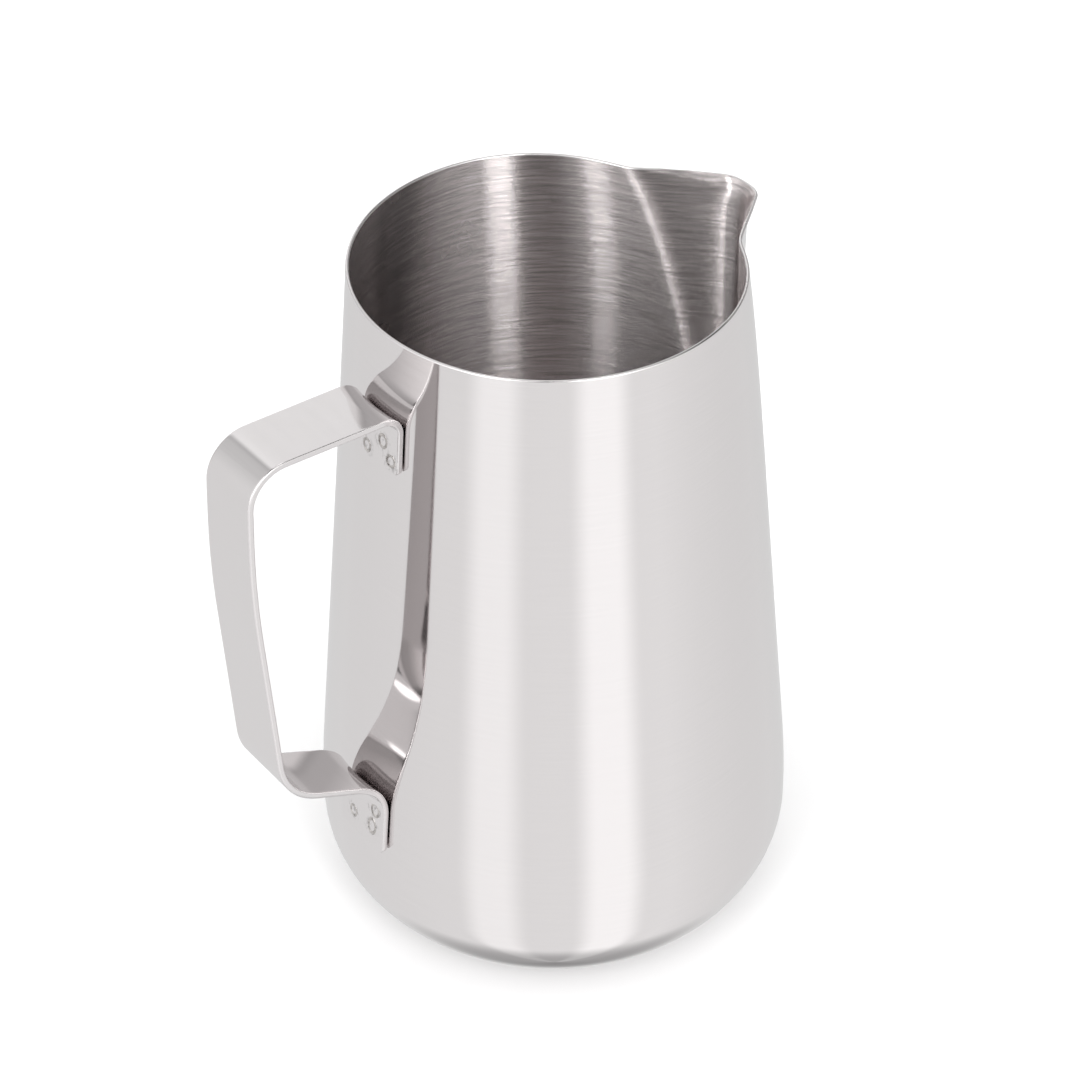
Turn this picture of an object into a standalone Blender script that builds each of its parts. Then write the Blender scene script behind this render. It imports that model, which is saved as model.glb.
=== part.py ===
"""Milk frothing pitcher: a deep-drawn steel vessel with a pressed pouring spout, a bent strap
handle, and the spot welds that hold the handle's two tabs to the wall.

Metres, +Z up. The origin is the centre of the flat base that the pitcher stands on.
The spout points along +X and the handle along -X, so XZ is the plane of symmetry.
"""
import math

import bmesh
import bpy
from mathutils import Matrix, Vector

# Vessel: the outside surface is a cone above a wide belly arc and a corner arc.
HEIGHT = 0.1809
RIM_R = 0.0450
WALL_LEAN = math.radians(5.12)
BELLY_R = 0.2343
BELLY_OVERHANG = math.radians(0.52)
CORNER_R = 0.0219
SHEET = 0.0008
LIP_ROUND = 0.00034

# Spout: a V pressed out of the wall, widest at the rim and fading out low on the cone.
SPOUT_HALF_ANGLE = math.radians(26.6)
FOLD_END_ANGLE = math.radians(5.0)
FOLD_FADE = 0.0456
VALLEY_R = 0.0566
VALLEY_BLEND = 0.0006
VALLEY_ROUND = 0.0050
TIP_LEAN = 0.0020
TIP_LEAN_FADE = 0.0030
TIP_R = 0.0586
CURL_DEPTH = 0.0008
BOWL_DEPTH = 0.0050
BOWL_START = 0.60
CURL_POWER = 1.25
SIDE_REACH = 0.72
SIDE_BOW = 0.132
NOSE_WIDTH = 0.415

# Rim beside the spout: drawn in and pulled down as the V is pressed.
DRAW_IN = 0.00114
DRAW_IN_SPREAD = math.radians(23.7)
DRAW_IN_DEPTH = 0.060
DRAW_POWER = 1.42
SIDE_SWELL = 0.0004
FOLD_DROP = 0.00153
SIDE_DROP = 0.00306
TIP_DROP = 0.00402
DROP_SPREAD = math.radians(33.9)
DROP_FADE = 0.015

# Vessel mesh: columns round the wall, and how far below the rim the spout's rows lie.
COLUMNS = 80
FOLD_COLUMN = 9
SPOUT_ROWS = (0.0, 0.0009, 0.0025, 0.0043, 0.0065, 0.0095, 0.0135, 0.019, 0.026, 0.035, 0.046,
              0.060, 0.076, 0.094, 0.114)
BELLY_STEPS = 3
CORNER_STEPS = 8
LIP_SEGMENTS = 3
MERGE = 0.00001

# Handle strap: corners of its inner face's path in the XZ plane, as (reach from the axis, z).
STRAP = 0.00155
STRAP_EDGE_ROUND = 0.00035
GAP = 0.0003
UPPER_TAB_Z = 0.1486
UPPER_BEND_Z = 0.1634
TOP_CORNER = (0.0854, 0.1655)
GRIP_BOW = (0.0871, 0.1350)
LOW_CORNER = (0.0838, 0.0724)
LOWER_BEND_Z = 0.0586
LOWER_TAB_Z = 0.0373
UPPER_BEND_R = 0.0039
TOP_CORNER_R = 0.0085
GRIP_BOW_R = 0.2600
LOW_CORNER_R = 0.0163
LOWER_BEND_R = 0.0138
TAB_WIDTH = 0.0168
TOP_WIDTH = 0.0162
LOW_WIDTH = 0.0176
TAB_CORNER_R = 0.0012
TAB_CURVE_FADE = 0.0090

# Strap mesh
BEND_SEGMENTS = 7
CORNER_ROWS = 3
STRAP_STEP = 0.0080
STRAP_COLUMNS = 6
STRAP_SEGMENTS = 2

# Spot welds: (offset along Y, height) of each one's centre.
UPPER_WELDS = ((-0.0060, 0.1516), (-0.0032, 0.1555), (0.0025, 0.1513))
LOWER_WELDS = ((-0.0044, 0.0438), (0.0030, 0.0435), (-0.0054, 0.0493))
WELD_R = 0.0015
WELD_HOLE_R = 0.0018
WELD_ROUND = 0.0002
WELD_DISH = 0.00025
WELD_DISH_R = 0.0011
WELD_DISH_FLOOR_R = 0.0007
WELD_DISH_FLOOR = 0.0002
CUTTER_LENGTH = 0.0090
WELD_SEGMENTS = 24

# Edges sharper than this are rounded, and shading breaks at edges sharper than the other.
SHARP_EDGE = math.radians(60)
SHADING_BREAK = math.radians(18)


def clear_scene():
    for obj in list(bpy.data.objects):
        bpy.data.objects.remove(obj)


def collection(name, helper=False):
    made = bpy.data.collections.new(name)
    bpy.context.scene.collection.children.link(made)
    made.hide_render = helper
    return made


def steel(name, color, roughness):
    made = bpy.data.materials.new(name)
    made.use_nodes = True
    shader = made.node_tree.nodes["Principled BSDF"]
    shader.inputs["Base Color"].default_value = (*color, 1)
    shader.inputs["Metallic"].default_value = 1
    shader.inputs["Roughness"].default_value = roughness
    return made


def line_object(name, points, home):
    """An object holding one open line through the points."""
    mesh = bpy.data.meshes.new(name)
    mesh.from_pydata(points, [(i, i + 1) for i in range(len(points) - 1)], [])
    obj = bpy.data.objects.new(name, mesh)
    home.objects.link(obj)
    return obj


def applied(obj):
    """Replaces the object's mesh by the one its modifiers make."""
    graph = bpy.context.evaluated_depsgraph_get()
    mesh = bpy.data.meshes.new_from_object(obj.evaluated_get(graph))
    obj.modifiers.clear()
    obj.data = mesh


def turned(obj, columns):
    """Turns the object's line about Z into a closed ring of faces."""
    screw = obj.modifiers.new("turned", "SCREW")
    screw.steps = screw.render_steps = columns
    screw.use_merge_vertices = True
    screw.merge_threshold = MERGE
    applied(obj)


def thicken(obj, thickness, offset):
    sheet = obj.modifiers.new("sheet", "SOLIDIFY")
    sheet.thickness = thickness
    sheet.offset = offset
    sheet.use_even_offset = True


def round_edges(obj, width, segments):
    bevel = obj.modifiers.new("rounded_edges", "BEVEL")
    bevel.width = width
    bevel.segments = segments
    bevel.limit_method = "ANGLE"
    bevel.angle_limit = SHARP_EDGE


def finish_surface(obj, finish):
    obj.data.shade_smooth()
    obj.data.set_sharp_from_angle(angle=SHADING_BREAK)
    obj.data.materials.clear()
    obj.data.materials.append(finish)


# The vessel's turned profile

def cone_radius(z):
    return RIM_R + (HEIGHT - z) * math.tan(WALL_LEAN)


def arc(centre, radius, start, end, steps):
    """Points (r, z) along an arc; the angles run from straight down towards +r."""
    turns = [start + (end - start) * i / steps for i in range(steps + 1)]
    return [(centre[0] + radius * math.sin(a), centre[1] - radius * math.cos(a)) for a in turns]


def wall_arcs():
    """The corner and belly arcs from the base up, moved outwards to meet the cone."""
    corner_end = math.pi / 2 + BELLY_OVERHANG
    corner = arc((0, CORNER_R), CORNER_R, 0, corner_end, CORNER_STEPS)
    r, z = corner[-1]
    centre = (r - BELLY_R * math.sin(corner_end), z + BELLY_R * math.cos(corner_end))
    belly = arc(centre, BELLY_R, corner_end, math.pi / 2 + WALL_LEAN, BELLY_STEPS)
    shift = cone_radius(belly[-1][1]) - belly[-1][0]
    return [(r + shift, z) for r, z in corner + belly[1:]]


def vessel_profile():
    """The outside surface as (r, z) points from the rim down to the axis."""
    heights = [HEIGHT - depth for depth in SPOUT_ROWS]
    cone = [(cone_radius(z), z) for z in heights]
    return cone + wall_arcs()[::-1] + [(0, 0)]


# The pressed spout

def fading(depth, reach):
    """1 at the rim, falling smoothly to 0 at this depth."""
    return max(0, 1 - depth / reach) ** 2


def soft_ramp(value, blend):
    """The value where it is positive and 0 where it is negative, with a rounded corner."""
    if value > 2 * blend:
        return value
    return max(0, value + 2 * blend) ** 2 / (8 * blend)


def fold_angle(depth):
    spread = SPOUT_HALF_ANGLE - FOLD_END_ANGLE
    return FOLD_END_ANGLE + spread * math.exp(-depth / FOLD_FADE)


def fold_radius(radius, depth):
    return radius - DRAW_IN * fading(depth, DRAW_IN_DEPTH)


def bezier(a, b, c, d, t):
    s = 1 - t
    return s * s * s * a + 3 * s * s * t * b + 3 * s * t * t * c + t * t * t * d


def fold_point(radius, depth):
    """(x, y) of the fold, where the spout leaves the round wall."""
    fold = fold_radius(radius, depth)
    angle = fold_angle(depth)
    return fold * math.cos(angle), fold * math.sin(angle)


def rim_outline(t):
    """(x, y) of the spout's rim, from the fold at t = 0 to the tip at t = 1."""
    x, y = fold_point(RIM_R, 0)
    start = Vector((x, y))
    chord = Vector((TIP_R, 0)) - start
    outwards = Vector((-chord.y, chord.x)).normalized()
    shoulder = start + SIDE_REACH * chord + SIDE_BOW * (TIP_R - x) * outwards
    return bezier(x, shoulder.x, TIP_R, TIP_R, t), bezier(y, shoulder.y, NOSE_WIDTH * y, 0, t)


def valley_x(radius, depth, y):
    """x on the V-shaped section with a rounded valley, at this y."""
    fold_x, fold_y = fold_point(radius, depth)
    groove = soft_ramp(VALLEY_R - cone_radius(HEIGHT - depth), VALLEY_BLEND)
    valley = radius + groove + TIP_LEAN * math.exp(-depth / TIP_LEAN_FADE)
    steepness = ((valley - fold_x + VALLEY_ROUND) ** 2 - VALLEY_ROUND ** 2) / fold_y ** 2
    return valley + VALLEY_ROUND - math.sqrt(VALLEY_ROUND ** 2 + steepness * y ** 2)


def spout_side(radius, depth, t):
    """(x, y) and the drop of the rim, from the fold at t = 0 to the valley at t = 1."""
    rim_x, rim_y = rim_outline(t)
    y = rim_y * fold_point(radius, depth)[1] / fold_point(RIM_R, 0)[1]
    bowl = max(0, t - BOWL_START) / (1 - BOWL_START)
    reach = CURL_DEPTH + (BOWL_DEPTH - CURL_DEPTH) * bowl * (2 - bowl)
    curl = max(0, 1 - depth / reach) ** CURL_POWER
    x = valley_x(radius, depth, y) + curl * (rim_x - valley_x(RIM_R, 0, rim_y))
    return x, y, bezier(FOLD_DROP, SIDE_DROP, TIP_DROP, TIP_DROP, t)


def beside_spout(radius, depth, angle):
    """(x, y) and the drop of the rim, at an angle beyond the fold."""
    past = angle - fold_angle(depth)
    swell = radius + SIDE_SWELL * fading(depth, DRAW_IN_DEPTH) * math.sin(angle) ** 2
    drawn = math.exp(-((past / DRAW_IN_SPREAD) ** DRAW_POWER))
    reach = swell - (swell - fold_radius(radius, depth)) * drawn
    drop = FOLD_DROP * math.exp(-((past / DROP_SPREAD) ** DRAW_POWER))
    return reach * math.cos(angle), reach * math.sin(angle), drop


def pressed(point):
    """Where a point of the turned shell goes when the spout is pressed out of it."""
    radius = math.hypot(point.x, point.y)
    turn = abs(math.atan2(point.y, point.x))
    depth = HEIGHT - point.z
    fold_turn = 2 * math.pi * FOLD_COLUMN / COLUMNS
    if turn < fold_turn:
        x, y, drop = spout_side(radius, depth, 1 - turn / fold_turn)
    else:
        share = (turn - fold_turn) / (math.pi - fold_turn)
        edge = fold_angle(depth)
        x, y, drop = beside_spout(radius, depth, edge + share * (math.pi - edge))
    return Vector((x, math.copysign(y, point.y), point.z - drop * math.exp(-depth / DROP_FADE)))


def make_vessel(home, finish):
    vessel = line_object("vessel", [(r, 0, z) for r, z in vessel_profile()], home)
    turned(vessel, COLUMNS)
    for vertex in vessel.data.vertices:
        if math.hypot(vertex.co.x, vertex.co.y) > MERGE:
            vertex.co = pressed(vertex.co)
    thicken(vessel, SHEET, -1)
    round_edges(vessel, LIP_ROUND, LIP_SEGMENTS)
    applied(vessel)
    finish_surface(vessel, finish)


# The strap handle

def fillet(before, corner, after, radius):
    """Points (reach, z) of the arc that rounds one corner of the strap's path."""
    to_start = (before - corner).normalized()
    to_end = (after - corner).normalized()
    half = to_start.angle(to_end) / 2
    start = corner + to_start * radius / math.tan(half)
    centre = corner + (to_start + to_end).normalized() * radius / math.sin(half)
    turn = math.copysign(math.pi - 2 * half, to_end.cross(to_start))
    steps = [turn * i / BEND_SEGMENTS for i in range(BEND_SEGMENTS + 1)]
    return [centre + Matrix.Rotation(angle, 2) @ (start - centre) for angle in steps]


def tab_end(end, towards):
    """Points over the short stretch where a tab's corners are rounded."""
    direction = (towards - end).normalized()
    turns = [math.pi / 2 * i / CORNER_ROWS for i in range(CORNER_ROWS + 1)]
    return [end + direction * TAB_CORNER_R * (1 - math.cos(turn)) for turn in turns]


def spread_out(path):
    """The path with points added so that none are further apart than STRAP_STEP."""
    dense = [path[0]]
    for point in path[1:]:
        last = dense[-1]
        steps = math.ceil((point - last).length / STRAP_STEP)
        dense += [last.lerp(point, i / steps) for i in range(1, steps + 1)]
    return dense


def strap_corners():
    outer_face = GAP + STRAP
    corners = ((cone_radius(UPPER_TAB_Z) + outer_face, UPPER_TAB_Z),
               (cone_radius(UPPER_BEND_Z) + outer_face, UPPER_BEND_Z),
               TOP_CORNER,
               GRIP_BOW,
               LOW_CORNER,
               (cone_radius(LOWER_BEND_Z) + GAP, LOWER_BEND_Z),
               (cone_radius(LOWER_TAB_Z) + GAP, LOWER_TAB_Z))
    return [Vector(corner) for corner in corners]


def strap_path():
    """The strap's inner face from the upper tab's end to the lower tab's, as (reach, z)."""
    corners = strap_corners()
    radii = (UPPER_BEND_R, TOP_CORNER_R, GRIP_BOW_R, LOW_CORNER_R, LOWER_BEND_R)
    path = tab_end(corners[0], corners[1])
    for i, radius in enumerate(radii, 1):
        path += fillet(corners[i - 1], corners[i], corners[i + 1], radius)
    path += tab_end(corners[-1], corners[-2])[::-1]
    return spread_out(path)


def lengths_along(path):
    lengths = [0]
    for a, b in zip(path, path[1:]):
        lengths.append(lengths[-1] + (b - a).length)
    return lengths


def nearest_length(path, lengths, corner):
    """How far along the path the point nearest a corner lies."""
    distances = [(point - corner).length for point in path]
    return lengths[distances.index(min(distances))]


def between(value, stations):
    """The straight-line value between (position, value) stations."""
    for (low, a), (high, b) in zip(stations, stations[1:]):
        if value <= high:
            return a + (b - a) * (value - low) / (high - low)
    return stations[-1][1]


def corner_cut(from_end):
    """How much narrower each side is this close to a tab's end."""
    inside = max(0, TAB_CORNER_R - from_end)
    return TAB_CORNER_R - math.sqrt(TAB_CORNER_R ** 2 - inside ** 2)


def tab_share(past_tab):
    """1 on a tab, fading to 0 beyond its bend, where the strap is flat across."""
    t = min(1, max(0, past_tab / TAB_CURVE_FADE))
    return 1 - t * t * (3 - 2 * t)


def strap_rows(path):
    """(reach, z, width, share of the wall's curve) at every point of the path."""
    lengths = lengths_along(path)
    corners = strap_corners()
    upper, top, _, low, lower = [nearest_length(path, lengths, c) for c in corners[1:-1]]
    whole = lengths[-1]
    stations = ((0, TAB_WIDTH), (top, TOP_WIDTH), (low, LOW_WIDTH), (whole, TAB_WIDTH))
    rows = []
    for point, s in zip(path, lengths):
        width = between(s, stations) - 2 * corner_cut(min(s, whole - s))
        curve = max(tab_share(s - upper), tab_share(lower - s))
        rows.append((point.x, point.y, width, curve))
    return rows


def bend_strap(strap, rows):
    """Moves the flat sheet's points, one line of them to each row, into the bent strap."""
    for vertex in strap.data.vertices:
        reach, z, width, curve = rows[vertex.index % len(rows)]
        across = (vertex.co.y - 0.5) * width
        sag = reach - math.sqrt(reach ** 2 - across ** 2)
        vertex.co = (-(reach - curve * sag), across, z)


def make_handle(home, finish, cutters):
    path = strap_path()
    handle = line_object("handle", [(p.x, 0, p.y) for p in path], home)
    sheet = handle.modifiers.new("across", "SCREW")
    sheet.axis = "Y"
    sheet.angle = 0
    sheet.screw_offset = 1
    sheet.steps = sheet.render_steps = STRAP_COLUMNS
    applied(handle)
    bend_strap(handle, strap_rows(path))
    thicken(handle, STRAP, -1)
    round_edges(handle, STRAP_EDGE_ROUND, STRAP_SEGMENTS)
    for cutter in cutters:
        cut = handle.modifiers.new(cutter.name, "BOOLEAN")
        cut.operation = "DIFFERENCE"
        cut.solver = "EXACT"
        cut.object = cutter
    applied(handle)
    finish_surface(handle, finish)


# The spot welds

def weld_matrix(across, z):
    """Places a weld on the tab's wall side, with its local Z along the wall's outward normal."""
    reach = cone_radius(z) + GAP
    turn = math.pi - math.asin(across / reach)
    place = Vector((reach * math.cos(turn), reach * math.sin(turn), z))
    lean = Matrix.Rotation(math.pi / 2 - WALL_LEAN, 4, "Y")
    return Matrix.Translation(place) @ Matrix.Rotation(turn, 4, "Z") @ lean


def make_cutter(name, place, home):
    bm = bmesh.new()
    bmesh.ops.create_cone(bm, cap_ends=True, segments=WELD_SEGMENTS, radius1=WELD_HOLE_R,
                          radius2=WELD_HOLE_R, depth=CUTTER_LENGTH)
    mesh = bpy.data.meshes.new(name)
    bm.to_mesh(mesh)
    bm.free()
    cutter = bpy.data.objects.new(name, mesh)
    cutter.matrix_world = place
    cutter.display_type = "WIRE"
    cutter.hide_render = True
    home.objects.link(cutter)
    return cutter


def make_weld(name, place, home, finish):
    profile = [(0, STRAP - WELD_DISH), (WELD_DISH_FLOOR_R, STRAP - WELD_DISH_FLOOR),
               (WELD_DISH_R, STRAP), (WELD_R - WELD_ROUND, STRAP), (WELD_R, STRAP - WELD_ROUND),
               (WELD_R, 0), (0, 0)]
    weld = line_object(name, [(r, 0, z) for r, z in profile], home)
    turned(weld, WELD_SEGMENTS)
    weld.matrix_world = place
    finish_surface(weld, finish)


def main():
    clear_scene()
    parts = collection("milk_frothing_pitcher")
    helpers = collection("cutters", helper=True)
    polished = steel("polished_steel", (0.74, 0.73, 0.72), 0.12)
    strap_finish = steel("polished_strap", (0.72, 0.71, 0.70), 0.16)
    weld_finish = steel("weld_steel", (0.55, 0.52, 0.50), 0.35)
    welds = [(f"upper_spot_weld_{i}", spot) for i, spot in enumerate(UPPER_WELDS, 1)]
    welds += [(f"lower_spot_weld_{i}", spot) for i, spot in enumerate(LOWER_WELDS, 1)]
    cutters = []
    for name, spot in welds:
        make_weld(name, weld_matrix(*spot), parts, weld_finish)
        cutters.append(make_cutter(f"{name}_hole", weld_matrix(*spot), helpers))
    bpy.context.view_layer.update()
    make_vessel(parts, polished)
    make_handle(parts, strap_finish, cutters)


main()
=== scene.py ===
import math

import bmesh
import bpy
import numpy as np
from mathutils import Matrix, Vector


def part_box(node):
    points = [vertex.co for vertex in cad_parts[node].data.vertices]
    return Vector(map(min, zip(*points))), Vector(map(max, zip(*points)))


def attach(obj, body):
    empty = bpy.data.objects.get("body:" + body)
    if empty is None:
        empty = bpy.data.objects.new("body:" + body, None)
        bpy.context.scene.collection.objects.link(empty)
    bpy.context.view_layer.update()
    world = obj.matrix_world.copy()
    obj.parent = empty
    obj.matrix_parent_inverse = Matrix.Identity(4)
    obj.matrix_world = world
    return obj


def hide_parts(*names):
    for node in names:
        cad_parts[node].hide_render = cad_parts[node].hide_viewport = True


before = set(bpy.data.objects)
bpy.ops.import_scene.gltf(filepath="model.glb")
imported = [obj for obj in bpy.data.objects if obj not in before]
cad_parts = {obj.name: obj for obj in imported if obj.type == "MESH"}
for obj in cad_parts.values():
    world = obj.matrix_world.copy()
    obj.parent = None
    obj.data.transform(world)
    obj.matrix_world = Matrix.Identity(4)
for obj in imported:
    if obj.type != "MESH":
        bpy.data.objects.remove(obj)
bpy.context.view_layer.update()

# Vessel
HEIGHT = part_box("vessel")[1].z
RIM_R = 0.0450
WALL_LEAN = math.radians(5.12)
BELLY_R = 0.2343
BELLY_OVERHANG = math.radians(0.52)
CORNER_R = 0.0219
SHEET = 0.0008
BELLY_STEPS = 12
CORNER_STEPS = 22
BASE_RINGS = 6
CONE_ROWS = 64
CONE_CROWDING = 2.0
LIP_STEPS = 8

# Spout
SPOUT_HALF_ANGLE = math.radians(26.6)
FOLD_END_ANGLE = math.radians(5.0)
FOLD_FADE = 0.0456
FOLD_TURN = math.radians(40.5)
VALLEY_R = 0.0566
VALLEY_BLEND = 0.0006
VALLEY_ROUND = 0.0050
TIP_LEAN = 0.0020
TIP_LEAN_FADE = 0.0030
TIP_R = 0.0586
CURL_DEPTH = 0.0008
BOWL_DEPTH = 0.0050
BOWL_START = 0.60
CURL_POWER = 1.25
SIDE_REACH = 0.72
SIDE_BOW = 0.132
NOSE_WIDTH = 0.415
FOLD_SOFTNESS = 0.0018
FOLD_SOFTENING = 0.0007
FOLD_SOFTENING_DEPTH = 0.006

# Rim beside the spout
DRAW_IN = 0.00114
DRAW_IN_SPREAD = math.radians(23.7)
DRAW_IN_DEPTH = 0.060
DRAW_POWER = 1.42
SIDE_SWELL = 0.0004
FOLD_DROP = 0.00153
SIDE_DROP = 0.00306
TIP_DROP = 0.00402
DROP_SPREAD = math.radians(33.9)
DROP_FADE = 0.015

# Columns round the wall: fine over the spout, wider over the rest
SPOUT_SPAN = math.radians(60)
SPOUT_COLUMNS = 200
BACK_COLUMNS = 200
CURVE_SAMPLES = 2400

# Handle strap
STRAP = 0.00155
STRAP_EDGE_ROUND = 0.00035
GAP = 0.0003
UPPER_TAB_Z = 0.1486
UPPER_BEND_Z = 0.1634
TOP_CORNER = (0.0854, 0.1655)
GRIP_BOW = (0.0871, 0.1350)
LOW_CORNER = (0.0838, 0.0724)
LOWER_BEND_Z = 0.0586
LOWER_TAB_Z = 0.0373
UPPER_BEND_R = 0.0039
TOP_CORNER_R = 0.0085
GRIP_BOW_R = 0.2600
LOW_CORNER_R = 0.0163
LOWER_BEND_R = 0.0138
TAB_WIDTH = 0.0168
TOP_WIDTH = 0.0162
LOW_WIDTH = 0.0176
TAB_CORNER_R = 0.0012
TAB_CURVE_FADE = 0.0090
BEND_SEGMENTS = 16
TAB_STEP = 0.0004
STRAP_STEP = 0.0010
ACROSS_STEPS = 40
EDGE_STEPS = 4
END_STEPS = 5

# Spot welds: (offset along Y, height) of each one's centre, and how much taller than wide each is
UPPER_WELDS = ((-0.0060, 0.1516), (-0.0032, 0.1555), (0.0025, 0.1513))
LOWER_WELDS = ((-0.0044, 0.0438), (0.0030, 0.0435), (-0.0054, 0.0493))
UPPER_STRETCH = (1.1, 1.3, 1.2)
LOWER_STRETCH = (1.75, 1.2, 1.4)
DIMPLE_R = 0.0021
DIMPLE_DEPTH = 0.00016

# Half section of a weld mark: (radius, height over the strap) from the pit's floor to the root
WELD_PROFILE = ((0, -0.00075), (0.00020, -0.00070), (0.00038, -0.00027), (0.00045, -0.00022),
                (0.0008, -0.00019), (0.0010, -0.00012), (0.00115, -0.00003), (0.0013, 0.00001),
                (0.00145, -0.00003), (0.00155, -0.00011), (0.00165, -0.00030),
                (0.00165, -0.0011), (0, -0.0011))
WELD_COLUMNS = 48

# Colour of each steel surface, and how rough each polish is
STEEL = (0.708, 0.684, 0.684)
INSIDE_STEEL = (0.67, 0.622, 0.618)
WELD_STEEL = (0.62, 0.59, 0.57)
POLISH_ROUGHNESS = 0.06
LIP_ROUGHNESS = 0.28
STRAP_ROUGHNESS = 0.09

# Below, a texture is (scale or scales along X, Y and Z, detail, roughness of the detail), and a
# reach is the pair of values over which something changes from one level to another.

# Polish: haze and fine buffing lines over a slight waviness
HAZE = (60, 5, 0.65)
HAZE_REACH = (0.1, 0.4)
GLOSS_SPREAD = 0.4
BUFF_LINES = ((80, 80, 6500), 3, 0.6)
BUFF_REACH = (0.3, 0.7)
BUFF_TONE = 0.015
WAVES = ((60, 60, 25), 1, 0.5)
WAVE_HEIGHT = 0.000004

# Brushing round the inside: lines that rock the normal up and down, finer scratches, patches
BRUSH_LINES = ((70, 70, 1700), 3, 0.8)
BRUSH_REACH = (0.36, 0.64)
BRUSH_CONTRAST = 0.26
LINE_ROCK = 0.45
GRAIN_ROCK = 1.8
SCRATCHES = ((45, 45, 3600), 2, 0.5)
SCRATCH_REACH = (0.60, 0.75)
PATCHES = (30, 4, 0.6)
PATCH_REACH = (0.3, 0.7)
PATCH_GLOSS = (0.22, 0.28)
SMEAR = 1.0
SMEAR_TURN = 0.25

# The spout's tip is buffed smoother than the rest of the inside
TIP_SPOT = (0.0575, 0, 0.1775)
TIP_REACH = (0.0035, 0.008)
TIP_ROCK = 0.45

# Painted shade: the inside's colour is darkened on this side of the axis, where the real inside lies
# in shade, from the first distance on to the second
PAINTED_SHADE_SIDE = (-0.79, 0.61, 0)
PAINTED_SHADE_REACH = (0.025, 0.038)
PAINTED_SHADE_TONE = 0.40

# Scuffs round the welds
SCUFFS = ((900, 900, 450), 4, 0.7)
SCUFF_BREAKS = (0.5, 0.62)
SCUFF_REACH = (0.0012, 0.0034)
SCUFF_TONE = 0.58
SCUFF_ROUGHNESS = 0.15

# Wear on the strap's edges, by how much the surface faces sideways
EDGE_START = (0.25, 0.5)
EDGE_END = (0.94, 0.99)
EDGE_ROUGHNESS = 0.3

# Weld metal
BLOTCHES = (900, 4, 0.7)
BLOTCH_REACH = (0.36, 0.6)
BLOTCH_TONE = (0.46, 1.0)
BLOTCH_GLOSS_REACH = (0.3, 0.7)
BLOTCH_GLOSS = (0.2, 0.45)
BLOTCH_BUMP = 0.00006

# Camera
CAMERA_PLACE = Vector((-0.33872, -0.43690, 0.56114))
CAMERA_AHEAD = Vector((0.46741, 0.60914, -0.64070))
CAMERA_UP = Vector((0.39965, 0.50079, 0.76770))
LENS = 100.58
SENSOR = 36.0

# Light tent: brightness by azimuth in degrees from the camera, below and above the horizon, and
# panels on it as (azimuth, half width, soft edge, gain)
LOW_TONES = ((-180, 0.70), (-160, 0.74), (-132, 0.85), (-102, 0.90), (-57, 0.96), (0, 1.0),
             (57, 1.02), (80, 0.95), (102, 0.90), (132, 0.85), (160, 0.74), (180, 0.70))
LOW_PANELS = ((-30, 5, 13, 0.22), (27, 6, 13, 0.29))
HIGH_TONES = ((-180, 1.02), (-145, 1.10), (-134, 0.60), (-124, 0.72), (-108, 0.74), (-98, 0.86),
              (-70, 1.40), (-45, 1.87), (-18, 1.25), (-8, 0.38), (0, 0.27), (8, 0.38), (20, 0.90),
              (42, 1.95), (65, 0.90), (85, 0.18), (100, 0.01), (160, 0.01), (174, 1.02), (180, 1.02))
HIGH_PANELS = ((-33, 4.5, 3.5, 3.6), (26, 5.8, 3.5, 4.9))

# The same tent by height, which is the sine of the elevation
FEET_REACH = (-1, -0.85)
FEET_SHARE = 0.5
HORIZON_REACH = (-0.1, 0.1)
SKIRT_REACH = (0.42, 0.56)
SKIRT_LEVEL = 0.5
ZENITH_REACH = (0.83, 0.93)
ZENITH_LEVEL = 0.2

# A lamp overhead: its direction, and rings as ((cosine at the edge, at the core), brightness)
OVERHEAD_WAY = (-0.438, 0, 0.899)
OVERHEAD_RINGS = (((0.93, 0.965), 1.0), ((0.988, 0.996), 2.6))

# What matt surfaces and the camera see of the tent
DIFFUSE_LEVEL = 1.2
BACKDROP_LEVEL = 1.0

# Floor, and how often light may bounce between the handle and the wall
FLOOR_HALF = 4.0
FLOOR_TONE = (0.92, 0.92, 0.92, 1)
FLOOR_ROUGHNESS = 0.9
MIRROR_BOUNCES = 12

# Shading breaks at edges sharper than this
SHADING_BREAK = math.radians(40)


def lengths_along(path):
    steps = np.linalg.norm(np.diff(path, axis=0), axis=1)
    return np.concatenate([[0], np.cumsum(steps)])


def mesh_object(name, points, faces, materials, indices=None):
    """A smooth object; the indices say which of the materials each face wears."""
    mesh = bpy.data.meshes.new(name)
    mesh.from_pydata([tuple(p) for p in points], [], [tuple(int(i) for i in f) for f in faces])
    obj = bpy.data.objects.new(name, mesh)
    bpy.context.scene.collection.objects.link(obj)
    for material in materials:
        mesh.materials.append(material)
    if indices is not None:
        mesh.polygons.foreach_set("material_index", indices)
    mesh.shade_smooth()
    mesh.set_sharp_from_angle(angle=SHADING_BREAK)
    return obj


# Vessel shape

def cone_radius(z):
    return RIM_R + (HEIGHT - z) * math.tan(WALL_LEAN)


def arc(centre, radius, start, end, steps):
    turns = [start + (end - start) * i / steps for i in range(steps + 1)]
    return [(centre[0] + radius * math.sin(a), centre[1] - radius * math.cos(a)) for a in turns]


def wall_arcs():
    """The corner and belly arcs from the base up, moved outwards to meet the cone."""
    corner_end = math.pi / 2 + BELLY_OVERHANG
    corner = arc((0, CORNER_R), CORNER_R, 0, corner_end, CORNER_STEPS)
    r, z = corner[-1]
    centre = (r - BELLY_R * math.sin(corner_end), z + BELLY_R * math.cos(corner_end))
    belly = arc(centre, BELLY_R, corner_end, math.pi / 2 + WALL_LEAN, BELLY_STEPS)
    shift = cone_radius(belly[-1][1]) - belly[-1][0]
    return [(r + shift, z) for r, z in corner + belly[1:]]


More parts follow.
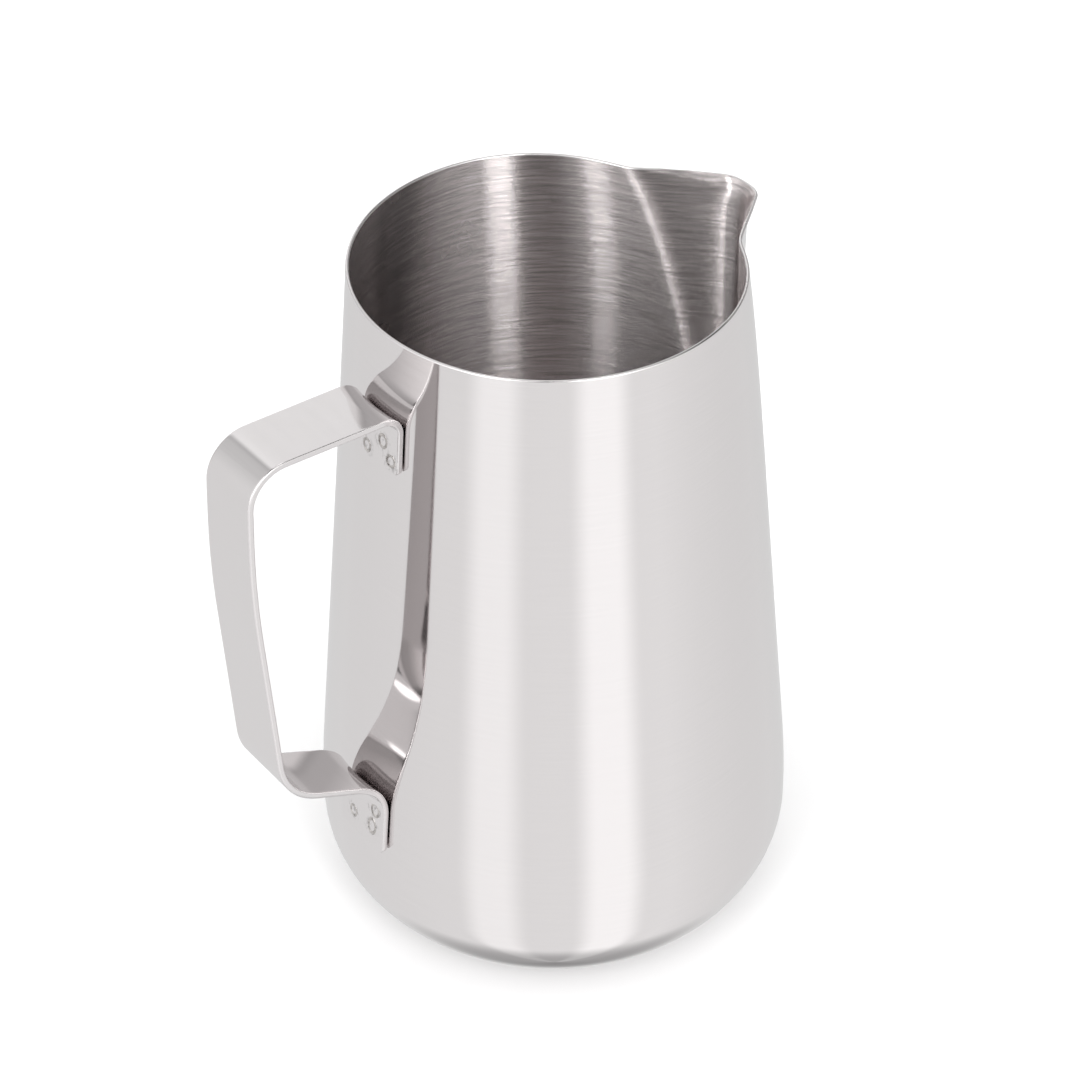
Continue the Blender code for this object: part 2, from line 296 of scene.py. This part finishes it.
def vessel_profile():
    """The outside surface as (r, z) points from just under the lip down to near the axis."""
    arcs = wall_arcs()
    top = HEIGHT - SHEET / 2
    cone_end = arcs[-1][1]
    shares = [(i / CONE_ROWS) ** CONE_CROWDING for i in range(CONE_ROWS)]
    cone = [(cone_radius(z), z) for z in (top + (cone_end - top) * s for s in shares)]
    base_r = arcs[0][0]
    base = [(base_r * (1 - i / (BASE_RINGS + 1)), 0) for i in range(1, BASE_RINGS + 1)]
    return cone + arcs[::-1] + base


def fading(depth, reach):
    """1 at the rim, falling smoothly to 0 at this depth."""
    return max(0, 1 - depth / reach) ** 2


def soft_ramp(value, blend):
    """The value where it is positive and 0 where it is negative, with a rounded corner."""
    if value > 2 * blend:
        return value
    return max(0, value + 2 * blend) ** 2 / (8 * blend)


def fold_angle(depth):
    spread = SPOUT_HALF_ANGLE - FOLD_END_ANGLE
    return FOLD_END_ANGLE + spread * math.exp(-depth / FOLD_FADE)


def fold_radius(radius, depth):
    return radius - DRAW_IN * fading(depth, DRAW_IN_DEPTH)


def bezier(a, b, c, d, t):
    s = 1 - t
    return s * s * s * a + 3 * s * s * t * b + 3 * s * t * t * c + t * t * t * d


def fold_point(radius, depth):
    fold = fold_radius(radius, depth)
    angle = fold_angle(depth)
    return fold * math.cos(angle), fold * math.sin(angle)


def rim_outline(t):
    """x and y of the spout's rim, from the fold at t = 0 to the tip at t = 1."""
    x, y = fold_point(RIM_R, 0)
    start = Vector((x, y))
    chord = Vector((TIP_R, 0)) - start
    outwards = Vector((-chord.y, chord.x)).normalized()
    shoulder = start + SIDE_REACH * chord + SIDE_BOW * (TIP_R - x) * outwards
    return bezier(x, shoulder.x, TIP_R, TIP_R, t), bezier(y, shoulder.y, NOSE_WIDTH * y, 0, t)


def valley_x(radius, depth, y):
    """x on the V-shaped section with a rounded valley, at this y."""
    fold_x, fold_y = fold_point(radius, depth)
    groove = soft_ramp(VALLEY_R - cone_radius(HEIGHT - depth), VALLEY_BLEND)
    valley = radius + groove + TIP_LEAN * math.exp(-depth / TIP_LEAN_FADE)
    steepness = ((valley - fold_x + VALLEY_ROUND) ** 2 - VALLEY_ROUND ** 2) / fold_y ** 2
    return valley + VALLEY_ROUND - np.sqrt(VALLEY_ROUND ** 2 + steepness * y ** 2)


def spout_side(radius, depth, t):
    """x, y and the drop of the rim, from the fold at t = 0 to the valley at t = 1."""
    rim_x, rim_y = rim_outline(t)
    y = rim_y * fold_point(radius, depth)[1] / fold_point(RIM_R, 0)[1]
    bowl = np.maximum(0, t - BOWL_START) / (1 - BOWL_START)
    reach = CURL_DEPTH + (BOWL_DEPTH - CURL_DEPTH) * bowl * (2 - bowl)
    curl = np.maximum(0, 1 - depth / reach) ** CURL_POWER
    x = valley_x(radius, depth, y) + curl * (rim_x - valley_x(RIM_R, 0, rim_y))
    return x, y, bezier(FOLD_DROP, SIDE_DROP, TIP_DROP, TIP_DROP, t)


def beside_spout(radius, depth, angle):
    """x, y and the drop of the rim, at angles beyond the fold."""
    past = np.maximum(0, angle - fold_angle(depth))
    swell = radius + SIDE_SWELL * fading(depth, DRAW_IN_DEPTH) * np.sin(angle) ** 2
    drawn = np.exp(-((past / DRAW_IN_SPREAD) ** DRAW_POWER))
    reach = swell - (swell - fold_radius(radius, depth)) * drawn
    drop = FOLD_DROP * np.exp(-((past / DROP_SPREAD) ** DRAW_POWER))
    return reach * np.cos(angle), reach * np.sin(angle), drop


def pressed_ring(radius, z, turns):
    """Where the points of one ring of the turned shell go when the spout is pressed out of it."""
    depth = HEIGHT - z
    turn = np.abs(turns)
    side = spout_side(radius, depth, 1 - np.minimum(turn, FOLD_TURN) / FOLD_TURN)
    share = np.maximum(0, turn - FOLD_TURN) / (math.pi - FOLD_TURN)
    edge = fold_angle(depth)
    beside = beside_spout(radius, depth, edge + share * (math.pi - edge))
    x, y, drop = [np.where(turn < FOLD_TURN, a, b) for a, b in zip(side, beside)]
    return np.stack([x, np.copysign(y, turns), z - drop * math.exp(-depth / DROP_FADE)], axis=1)


def softened_ring(radius, z, columns):
    """The ring at the columns' turns, its folds rounded by a blur along its own length."""
    turns = np.linspace(-math.pi, math.pi, CURVE_SAMPLES, endpoint=False)
    ring = pressed_ring(radius, z, turns)
    closed = np.vstack([ring, ring[:1]])
    lengths = lengths_along(closed)
    even = np.linspace(0, lengths[-1], CURVE_SAMPLES, endpoint=False)
    spacing = lengths[-1] / CURVE_SAMPLES
    wave = np.fft.rfftfreq(CURVE_SAMPLES, spacing)
    softness = FOLD_SOFTNESS + FOLD_SOFTENING * (1 - math.exp((z - HEIGHT) / FOLD_SOFTENING_DEPTH))
    blur = np.exp(-2 * (math.pi * wave * softness) ** 2)
    at = np.interp(columns, np.append(turns, math.pi), lengths)
    found = []
    for axis in range(3):
        values = np.interp(even, lengths, closed[:, axis])
        values = np.fft.irfft(np.fft.rfft(values) * blur, CURVE_SAMPLES)
        found.append(np.interp(at, np.append(even, lengths[-1]), np.append(values, values[0])))
    return np.stack(found, axis=1)


def column_turns():
    """Turns from the spout's middle, close together over the spout, all within half a circle."""
    spout = np.linspace(-SPOUT_SPAN, SPOUT_SPAN, SPOUT_COLUMNS, endpoint=False)
    back = np.linspace(SPOUT_SPAN, 2 * math.pi - SPOUT_SPAN, BACK_COLUMNS, endpoint=False)
    turns = np.concatenate([spout, back])
    return np.where(turns > math.pi, turns - 2 * math.pi, turns)


def surface_normals(grid):
    """Outward normals of a closed-round grid: rows run down, columns turn anticlockwise."""
    around = np.roll(grid, -1, axis=1) - np.roll(grid, 1, axis=1)
    down = np.gradient(grid, axis=0)
    normal = np.cross(down, around)
    return normal / np.linalg.norm(normal, axis=2, keepdims=True)


def grid_faces(rows, columns):
    """Quads of a closed-round grid whose rows are numbered in order."""
    i = np.arange(rows - 1)[:, None] * columns
    j = np.arange(columns)[None, :]
    k = (j + 1) % columns
    return np.stack([i + j, i + columns + j, i + columns + k, i + k], axis=2).reshape(-1, 4)


def round_lip(outer, inner, normal):
    """Rings of the half circle that joins the top of the outer wall to the top of the inner."""
    up = outer[0] - outer[1]
    up /= np.linalg.norm(up, axis=1, keepdims=True)
    middle = (outer[0] + inner[0]) / 2
    turns = [math.pi * i / LIP_STEPS for i in range(1, LIP_STEPS)]
    return [middle + SHEET / 2 * (normal[0] * math.cos(a) + up * math.sin(a)) for a in turns]


def make_vessel(outside, lip, inside):
    """The outer wall and the same wall set in by the sheet's thickness, joined by a round lip."""
    columns = column_turns()
    outer = np.array([softened_ring(r, z, columns) for r, z in vessel_profile()])
    normal = surface_normals(outer)
    inner = outer - SHEET * normal
    rolled = round_lip(outer, inner, normal)
    grid = np.concatenate([outer[::-1], rolled, inner])
    rows, count = grid.shape[:2]
    points = np.concatenate([grid.reshape(-1, 3), [[0, 0, 0], [0, 0, SHEET]]])
    faces = [f[::-1] for f in grid_faces(rows, count)]
    below = rows * count
    faces += [(below, (j + 1) % count, j) for j in range(count)]
    last = (rows - 1) * count
    faces += [(below + 1, last + j, last + (j + 1) % count) for j in range(count)]
    outer_faces = (len(outer) - 1) * count
    lip_faces = (len(rolled) + 1) * count
    inner_faces = (len(inner) - 1) * count
    indices = [0] * outer_faces + [1] * lip_faces + [2] * inner_faces + [0] * count + [2] * count
    return mesh_object("vessel_body", points, faces, (outside, lip, inside), indices)


# Handle shape

def fillet(before, corner, after, radius):
    """Points (reach, z) of the arc that rounds one corner of the strap's path."""
    to_start = (before - corner).normalized()
    to_end = (after - corner).normalized()
    half = to_start.angle(to_end) / 2
    start = corner + to_start * radius / math.tan(half)
    centre = corner + (to_start + to_end).normalized() * radius / math.sin(half)
    turn = math.copysign(math.pi - 2 * half, to_end.cross(to_start))
    steps = [turn * i / BEND_SEGMENTS for i in range(BEND_SEGMENTS + 1)]
    return [centre + Matrix.Rotation(angle, 2) @ (start - centre) for angle in steps]


def strap_corners():
    outer_face = GAP + STRAP
    corners = ((cone_radius(UPPER_TAB_Z) + outer_face, UPPER_TAB_Z),
               (cone_radius(UPPER_BEND_Z) + outer_face, UPPER_BEND_Z),
               TOP_CORNER,
               GRIP_BOW,
               LOW_CORNER,
               (cone_radius(LOWER_BEND_Z) + GAP, LOWER_BEND_Z),
               (cone_radius(LOWER_TAB_Z) + GAP, LOWER_TAB_Z))
    return [Vector(corner) for corner in corners]


def strap_path():
    """The path of the strap's inner face as (reach, z), the lengths along it, and its bends."""
    corners = strap_corners()
    radii = (UPPER_BEND_R, TOP_CORNER_R, GRIP_BOW_R, LOW_CORNER_R, LOWER_BEND_R)
    path = [corners[0]]
    for i, radius in enumerate(radii, 1):
        path += fillet(corners[i - 1], corners[i], corners[i + 1], radius)
    path.append(corners[-1])
    path = np.array([tuple(p) for p in path])
    lengths = lengths_along(path)
    bends = []
    for corner in corners[1:-1]:
        gaps = np.linalg.norm(path - np.array(corner), axis=1)
        bends.append(lengths[int(np.argmin(gaps))])
    return path, lengths, bends


def row_places(whole, upper, lower):
    """Distances along the strap: close together at its ends and tabs, wider over the grip."""
    ends = [STRAP_EDGE_ROUND * (1 - math.cos(math.pi / 2 * i / END_STEPS)) for i in range(END_STEPS)]
    corner = [TAB_CORNER_R * i / END_STEPS for i in range(2, END_STEPS + 1)]
    first = ends + corner
    tab_one = list(np.arange(TAB_CORNER_R + TAB_STEP, upper, TAB_STEP))
    grip = list(np.arange(upper, lower, STRAP_STEP))
    tab_two = list(np.arange(lower, whole - TAB_CORNER_R - TAB_STEP / 2, TAB_STEP))
    return np.array(first + tab_one + grip + tab_two + [whole - d for d in first[::-1]])


def corner_cut(from_end):
    """How much narrower each side is this close to a tab's end."""
    inside = np.maximum(0, TAB_CORNER_R - from_end)
    return TAB_CORNER_R - np.sqrt(TAB_CORNER_R ** 2 - inside ** 2)


def tab_share(past_tab):
    """1 on a tab, fading to 0 beyond its bend, where the strap is flat across."""
    t = np.clip(past_tab / TAB_CURVE_FADE, 0, 1)
    return 1 - t * t * (3 - 2 * t)


def strap_section():
    """Points round the strap's section: (across in half widths, share of the edge's round, level).

    The level is 0 on the inner face, 1 halfway round an edge and 2 on the outer face.
    """
    flat = np.linspace(-1, 1, ACROSS_STEPS + 1)
    turns = [math.pi / 2 * i / EDGE_STEPS for i in range(1, EDGE_STEPS + 1)]
    back = [0] + turns[:-1]
    section = [(a, 0, 0) for a in flat]
    section += [(1, math.sin(t), 1 - math.cos(t)) for t in turns]
    section += [(1, math.cos(t), 1 + math.sin(t)) for t in back]
    section += [(a, 0, 2) for a in flat[::-1]]
    section += [(-1, math.sin(t), 1 + math.cos(t)) for t in turns]
    section += [(-1, math.cos(t), 1 - math.sin(t)) for t in back]
    return section


def sized_section(half, shrink):
    """(across, height) of the section's points at every row, for its half width and end round."""
    across, edge, level = np.array(strap_section()).T
    rounding = STRAP_EDGE_ROUND - shrink[:, None]
    y = across * half[:, None] + np.copysign(edge, across) * rounding
    inner = shrink[:, None] + level * rounding
    outer = STRAP - shrink[:, None] - (2 - level) * rounding
    return y, np.where(level <= 1, inner, outer)


def bent_grid(reach, z, ahead, curve, y, h):
    """Places the rows' sections square to the path, and curved with the wall on the tabs."""
    reach = reach[:, None]
    curve = curve[:, None]
    sag = curve * (reach - np.sqrt(reach ** 2 - y ** 2))
    lean = curve * np.arcsin(y / reach)
    outwards = -h * ahead[:, 1:]
    x = -(reach - sag + outwards * np.cos(lean))
    return np.stack([x, y + outwards * np.sin(lean), z[:, None] + h * ahead[:, :1]], axis=2)


def dimples(point, welds, stretches):
    """How deep the electrode marks are at a point of a tab, given as (across, z)."""
    depth = 0
    for (across, z), stretch in zip(welds, stretches):
        away = math.hypot(point[0] - across, (point[1] - z) / stretch) / DIMPLE_R
        depth += DIMPLE_DEPTH * math.exp(-away ** 4)
    return depth


def mark_tab(tab, level, welds, stretches):
    """Presses the electrode marks into the face of a tab's rows that lies at this level."""
    facing = [j for j, point in enumerate(strap_section()) if point[1:] == (0, level)]
    for row in tab:
        for j in facing:
            row[j, 0] += dimples(row[j, 1:], welds, stretches)


def make_handle(finish):
    """The upper tab's outside is the strap's inner face; the lower tab's is its outer face."""
    path, lengths, (upper, top, _, low, lower) = strap_path()
    whole = lengths[-1]
    s = row_places(whole, upper, lower)
    reach = np.interp(s, lengths, path[:, 0])
    z = np.interp(s, lengths, path[:, 1])
    ahead = np.gradient(np.stack([reach, z], axis=1), s, axis=0)
    ahead /= np.linalg.norm(ahead, axis=1, keepdims=True)
    from_end = np.minimum(s, whole - s)
    width = np.interp(s, (0, top, low, whole), (TAB_WIDTH, TOP_WIDTH, LOW_WIDTH, TAB_WIDTH))
    half = width / 2 - corner_cut(from_end) - STRAP_EDGE_ROUND
    curve = np.maximum(tab_share(s - upper), tab_share(lower - s))
    inset = np.maximum(0, STRAP_EDGE_ROUND - from_end)
    shrink = STRAP_EDGE_ROUND - np.sqrt(STRAP_EDGE_ROUND ** 2 - inset ** 2)
    grid = bent_grid(reach, z, ahead, curve, *sized_section(half, shrink))
    mark_tab(grid[:np.searchsorted(s, upper)], 0, UPPER_WELDS, UPPER_STRETCH)
    mark_tab(grid[np.searchsorted(s, lower, side="right"):], 2, LOWER_WELDS, LOWER_STRETCH)
    rows, count = grid.shape[:2]
    faces = list(grid_faces(rows, count))
    faces.append(range(count))
    faces.append(range(rows * count - 1, (rows - 1) * count - 1, -1))
    return mesh_object("handle_strap", grid.reshape(-1, 3), faces, (finish,))


# Weld marks

def weld_matrix(across, z):
    """Places a weld mark on the tab's outside, with its local Z along the wall's outward normal."""
    reach = cone_radius(z) + GAP + STRAP
    turn = math.pi - math.asin(across / reach)
    place = Vector((reach * math.cos(turn), reach * math.sin(turn), z))
    lean = Matrix.Rotation(math.pi / 2 - WALL_LEAN, 4, "Y")
    return Matrix.Translation(place) @ Matrix.Rotation(turn, 4, "Z") @ lean


def make_weld(name, place, stretch, finish):
    """A turned mark: a raised ring round a pit, stretched up and down the wall."""
    turns = np.linspace(0, 2 * math.pi, WELD_COLUMNS, endpoint=False)
    rings = WELD_PROFILE[1:-1]
    points = [(r * math.cos(a), r * math.sin(a), h) for r, h in rings for a in turns]
    points += [(0, 0, WELD_PROFILE[0][1]), (0, 0, WELD_PROFILE[-1][1])]
    faces = list(grid_faces(len(rings), WELD_COLUMNS))
    top = len(rings) * WELD_COLUMNS
    last = top - WELD_COLUMNS
    faces += [(top, j, (j + 1) % WELD_COLUMNS) for j in range(WELD_COLUMNS)]
    faces += [(top + 1, last + (j + 1) % WELD_COLUMNS, last + j) for j in range(WELD_COLUMNS)]
    weld = mesh_object(name, points, faces, (finish,))
    weld.data.transform(place @ Matrix.Diagonal((stretch, 1, 1, 1)))
    return weld


# Finishes

class Graph:
    """Short calls that add and join the shader nodes of a material or of the world."""

    def __init__(self, tree):
        self.tree = tree
        tree.nodes.clear()

    def add(self, kind, inputs=None, **settings):
        node = self.tree.nodes.new(kind)
        for key, value in settings.items():
            setattr(node, key, value)
        for key, value in (inputs or {}).items():
            self.put(node.inputs[key], value)
        return node

    def put(self, socket, value):
        if isinstance(value, bpy.types.NodeSocket):
            self.tree.links.new(value, socket)
        else:
            socket.default_value = value

    def geometry(self, output):
        return self.add("ShaderNodeNewGeometry").outputs[output]

    def math(self, operation, a, b=0.0, c=0.0):
        return self.add("ShaderNodeMath", {0: a, 1: b, 2: c}, operation=operation).outputs[0]

    def vector(self, operation, a, b=(0, 0, 0)):
        return self.add("ShaderNodeVectorMath", {0: a, 1: b}, operation=operation).outputs[0]

    def measure(self, operation, a, b):
        """The one number that a DISTANCE or DOT_PRODUCT of two vectors gives."""
        node = self.add("ShaderNodeVectorMath", {0: a, 1: b}, operation=operation)
        return node.outputs["Value"]

    def ramp(self, value, stops):
        """The level at this value, straight-line between (place, level) stops."""
        node = self.add("ShaderNodeValToRGB", {0: value})
        elements = node.color_ramp.elements
        while len(elements) > 1:
            elements.remove(elements[-1])
        for i, (place, level) in enumerate(stops):
            element = elements[0] if i == 0 else elements.new(place)
            element.position = place
            element.color = (level, level, level, 1)
        return node.outputs[0]

    def spread(self, value, reach, start, end, kind="LINEAR"):
        """Changes from the start to the end as the value runs over the reach, and no further."""
        inputs = {0: value, 1: reach[0], 2: reach[1], 3: start, 4: end}
        return self.add("ShaderNodeMapRange", inputs, interpolation_type=kind).outputs[0]

    def mixed(self, share, a, b):
        return self.add("ShaderNodeMix", {0: share, 2: a, 3: b}).outputs[0]

    def scaled(self, vector, factor):
        inputs = {0: vector, "Scale": factor}
        return self.add("ShaderNodeVectorMath", inputs, operation="SCALE").outputs[0]

    def noise(self, place, texture):
        """Fractal noise; three scales stretch it into lines or waves."""
        scale, detail, roughness = texture
        if isinstance(scale, tuple):
            place = self.vector("MULTIPLY", place, scale)
            scale = 1.0
        inputs = {"Vector": place, "Scale": scale, "Detail": detail, "Roughness": roughness}
        return self.add("ShaderNodeTexNoise", inputs).outputs[0]

    def bump(self, height, distance):
        inputs = {"Strength": 1.0, "Distance": distance, "Height": height}
        return self.add("ShaderNodeBump", inputs).outputs[0]

    def metal(self, color, tone, roughness, normal, **more):
        """Ends a material as bare metal of this colour, darkened or lightened by the tone."""
        inputs = {"Base Color": self.scaled(color, tone), "Metallic": 1.0,
                  "Roughness": roughness, "Normal": normal, **more}
        self.finish(self.add("ShaderNodeBsdfPrincipled", inputs))

    def finish(self, shader, output="ShaderNodeOutputMaterial"):
        self.add(output, {"Surface": shader.outputs[0]})


def new_material(name):
    material = bpy.data.materials.new(name)
    material.use_nodes = True
    return material, Graph(material.node_tree)


def near_spots(g, place, spots, reach):
    """1 within the reach's first distance of any of the spots, fading to 0 at its second."""
    total = 0.0
    for spot in spots:
        share = g.spread(g.measure("DISTANCE", place, spot), reach, 1, 0, "SMOOTHSTEP")
        total = g.math("MAXIMUM", total, share)
    return total


def rocked_normal(g, place, lines):
    """The surface normal, rocked up and down over the brush lines, and the brushing's direction."""
    normal = g.geometry("Normal")
    tangent = g.vector("NORMALIZE", g.vector("CROSS_PRODUCT", (0, 0, 1), place))
    upward = g.vector("CROSS_PRODUCT", normal, tangent)
    chance = g.add("ShaderNodeTexWhiteNoise", {"Vector": place}).outputs["Color"]
    chance = g.add("ShaderNodeSeparateXYZ", {0: chance})
    grain = g.math("SUBTRACT", g.math("ADD", chance.outputs[0], chance.outputs[1]), 1.0)
    line = g.spread(lines, (0, 1), -LINE_ROCK, LINE_ROCK)
    rock = g.math("MULTIPLY_ADD", grain, GRAIN_ROCK, line)
    buffed = near_spots(g, place, (TIP_SPOT,), TIP_REACH)
    rock = g.math("MULTIPLY", rock, g.spread(buffed, (0, 1), 1, TIP_ROCK))
    return g.vector("NORMALIZE", g.vector("ADD", normal, g.scaled(upward, rock))), tangent


def brushed_steel(name):
    """Steel brushed round the vessel: light smears up and down the wall, broken into streaks."""
    material, g = new_material(name)
    place = g.geometry("Position")
    lines = g.noise(place, BRUSH_LINES)
    normal, tangent = rocked_normal(g, place, lines)
    scratch = g.spread(g.noise(place, SCRATCHES), SCRATCH_REACH, 0, 1)
    tone = g.spread(lines, BRUSH_REACH, 1 - BRUSH_CONTRAST, 1 + BRUSH_CONTRAST)
    tone = g.math("ADD", tone, g.math("MULTIPLY", scratch, BRUSH_CONTRAST))
    # Painted shade: darkens the inside's colour on the camera's left, where the real inside lies in
    # shade
    aside = g.measure("DOT_PRODUCT", place, PAINTED_SHADE_SIDE)
    tone = g.math("MULTIPLY", tone, g.spread(aside, PAINTED_SHADE_REACH, 1, PAINTED_SHADE_TONE))
    gloss = g.spread(g.noise(place, PATCHES), PATCH_REACH, *PATCH_GLOSS)
    along = {"Anisotropic": SMEAR, "Anisotropic Rotation": SMEAR_TURN, "Tangent": tangent}
    g.metal(INSIDE_STEEL, tone, gloss, normal, **along)
    return material


def weld_scuffs(g, place):
    """Broken dark scuffs that the electrodes left round the welds."""
    spots = [(-(cone_radius(z) + GAP + STRAP), y, z) for y, z in UPPER_WELDS + LOWER_WELDS]
    broken = g.spread(g.noise(place, SCUFFS), SCUFF_BREAKS, 0, 1)
    return g.math("MULTIPLY", near_spots(g, place, spots, SCUFF_REACH), broken)


def worn_edges(g):
    """1 on the strap's rounded edges, where the polish has worn off, 0 on its faces and sides."""
    normal = g.add("ShaderNodeSeparateXYZ", {0: g.geometry("Normal")})
    aside = g.math("ABSOLUTE", normal.outputs[1])
    return g.math("MULTIPLY", g.spread(aside, EDGE_START, 0, 1), g.spread(aside, EDGE_END, 1, 0))


def polished_steel(name, roughness, strap=False):
    """Buffed steel: a clear mirror with faint haze and waves, and worn places on the strap."""
    material, g = new_material(name)
    place = g.geometry("Position")
    lines = g.noise(place, BUFF_LINES)
    haze = g.math("MULTIPLY", g.noise(place, HAZE), lines)
    clearest = roughness * (1 - GLOSS_SPREAD)
    dullest = roughness * (1 + GLOSS_SPREAD)
    gloss = g.spread(haze, HAZE_REACH, clearest, dullest)
    tone = g.spread(lines, BUFF_REACH, 1 - BUFF_TONE, 1 + BUFF_TONE)
    if strap:
        scuffed = weld_scuffs(g, place)
        tone = g.math("MULTIPLY", tone, g.spread(scuffed, (0, 1), 1, SCUFF_TONE))
        gloss = g.math("MULTIPLY_ADD", scuffed, SCUFF_ROUGHNESS, gloss)
        gloss = g.math("MULTIPLY_ADD", worn_edges(g), EDGE_ROUGHNESS, gloss)
    g.metal(STEEL, tone, gloss, g.bump(g.noise(place, WAVES), WAVE_HEIGHT))
    return material


def weld_steel(name):
    """Unpolished weld metal: dull, blotched and pitted."""
    material, g = new_material(name)
    blotch = g.noise(g.geometry("Position"), BLOTCHES)
    tone = g.spread(blotch, BLOTCH_REACH, *BLOTCH_TONE)
    gloss = g.spread(blotch, BLOTCH_GLOSS_REACH, *BLOTCH_GLOSS)
    g.metal(WELD_STEEL, tone, gloss, g.bump(blotch, BLOTCH_BUMP))
    return material


# Studio

def add_camera():
    data = bpy.data.cameras.new("camera")
    data.lens = LENS
    data.sensor_width = SENSOR
    camera = bpy.data.objects.new("camera", data)
    back = -CAMERA_AHEAD.normalized()
    right = CAMERA_UP.cross(back).normalized()
    up = back.cross(right)
    turn = Matrix((right, up, back)).transposed()
    camera.matrix_world = Matrix.Translation(CAMERA_PLACE) @ turn.to_4x4()
    bpy.context.scene.collection.objects.link(camera)
    bpy.context.scene.camera = camera


def add_floor():
    bm = bmesh.new()
    bmesh.ops.create_grid(bm, x_segments=1, y_segments=1, size=FLOOR_HALF)
    mesh = bpy.data.meshes.new("floor")
    bm.to_mesh(mesh)
    bm.free()
    floor = bpy.data.objects.new("floor", mesh)
    bpy.context.scene.collection.objects.link(floor)
    material, g = new_material("pale_floor")
    matt = {"Base Color": FLOOR_TONE, "Roughness": FLOOR_ROUGHNESS, "Specular IOR Level": 0.0}
    g.finish(g.add("ShaderNodeBsdfPrincipled", matt))
    mesh.materials.append(material)
    floor.visible_glossy = False


def ring_level(g, azimuth, tones, panels):
    """Brightness round the tent: a gradient with brighter panels on it."""
    top = max(level for _, level in tones)
    share = g.spread(azimuth, (-180, 180), 0, 1)
    stops = [((angle + 180) / 360, level / top) for angle, level in tones]
    level = g.math("MULTIPLY", g.ramp(share, stops), top)
    for centre, half, soft, gain in panels:
        away = g.math("ABSOLUTE", g.math("SUBTRACT", azimuth, centre))
        shine = g.spread(away, (half, half + soft), gain, 0, "SMOOTHSTEP")
        level = g.math("ADD", level, shine)
    return level


def tent_level(g, way):
    """Brightness of the tent in a direction whose azimuth is measured from the camera."""
    split = g.add("ShaderNodeSeparateXYZ", {0: way})
    height = split.outputs[2]
    azimuth = g.math("DEGREES", g.math("ARCTAN2", split.outputs[1], split.outputs[0]))
    feet = g.spread(height, FEET_REACH, FEET_SHARE, 1, "SMOOTHSTEP")
    low = g.math("MULTIPLY", ring_level(g, azimuth, LOW_TONES, LOW_PANELS), feet)
    skirt = g.spread(height, SKIRT_REACH, SKIRT_LEVEL, 0, "SMOOTHSTEP")
    high = g.math("MAXIMUM", ring_level(g, azimuth, HIGH_TONES, HIGH_PANELS), skirt)
    above = g.spread(height, HORIZON_REACH, 0, 1, "SMOOTHSTEP")
    level = g.mixed(above, low, high)
    zenith = g.spread(height, ZENITH_REACH, 0, 1, "SMOOTHSTEP")
    level = g.mixed(zenith, level, ZENITH_LEVEL)
    near = g.measure("DOT_PRODUCT", way, OVERHEAD_WAY)
    for reach, overhead in OVERHEAD_RINGS:
        level = g.mixed(g.spread(near, reach, 0, 1, "SMOOTHSTEP"), level, overhead)
    return level


def add_tent():
    """A white tent: bright panels either side of the camera, darker behind it and at its feet."""
    world = bpy.data.worlds.new("light_tent")
    world.use_nodes = True
    bpy.context.scene.world = world
    g = Graph(world.node_tree)
    facing = math.atan2(CAMERA_PLACE.y, CAMERA_PLACE.x)
    way = g.add("ShaderNodeTexCoord").outputs["Generated"]
    turn = {"Vector": way, "Axis": (0, 0, 1), "Angle": -facing}
    turned = g.add("ShaderNodeVectorRotate", turn, rotation_type="AXIS_ANGLE").outputs[0]
    rays = g.add("ShaderNodeLightPath")
    level = g.mixed(rays.outputs["Is Diffuse Ray"], tent_level(g, turned), DIFFUSE_LEVEL)
    level = g.mixed(rays.outputs["Is Camera Ray"], level, BACKDROP_LEVEL)
    background = g.add("ShaderNodeBackground", {"Color": (1, 1, 1, 1), "Strength": level})
    g.finish(background, "ShaderNodeOutputWorld")


def main():
    outside = polished_steel("polished_outside", POLISH_ROUGHNESS)
    lip = polished_steel("polished_lip", LIP_ROUGHNESS)
    inside = brushed_steel("brushed_inside")
    strap = polished_steel("polished_strap_steel", STRAP_ROUGHNESS, strap=True)
    weld = weld_steel("weld_mark_steel")
    pieces = [(make_vessel(outside, lip, inside), "vessel", "polished_steel"),
              (make_handle(strap), "handle", "polished_strap")]
    tabs = (("upper", UPPER_WELDS, UPPER_STRETCH), ("lower", LOWER_WELDS, LOWER_STRETCH))
    for tab, spots, stretches in tabs:
        for i, (spot, stretch) in enumerate(zip(spots, stretches), 1):
            mark = make_weld(f"{tab}_weld_mark_{i}", weld_matrix(*spot), stretch, weld)
            pieces.append((mark, f"{tab}_spot_weld_{i}", "weld_steel"))
    for piece, node, slot in pieces:
        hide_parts(node)
        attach(piece, "root")
    add_floor()
    add_tent()
    add_camera()
    bpy.context.scene.view_settings.view_transform = "Standard"
    bpy.context.scene.cycles.glossy_bounces = MIRROR_BOUNCES


main()
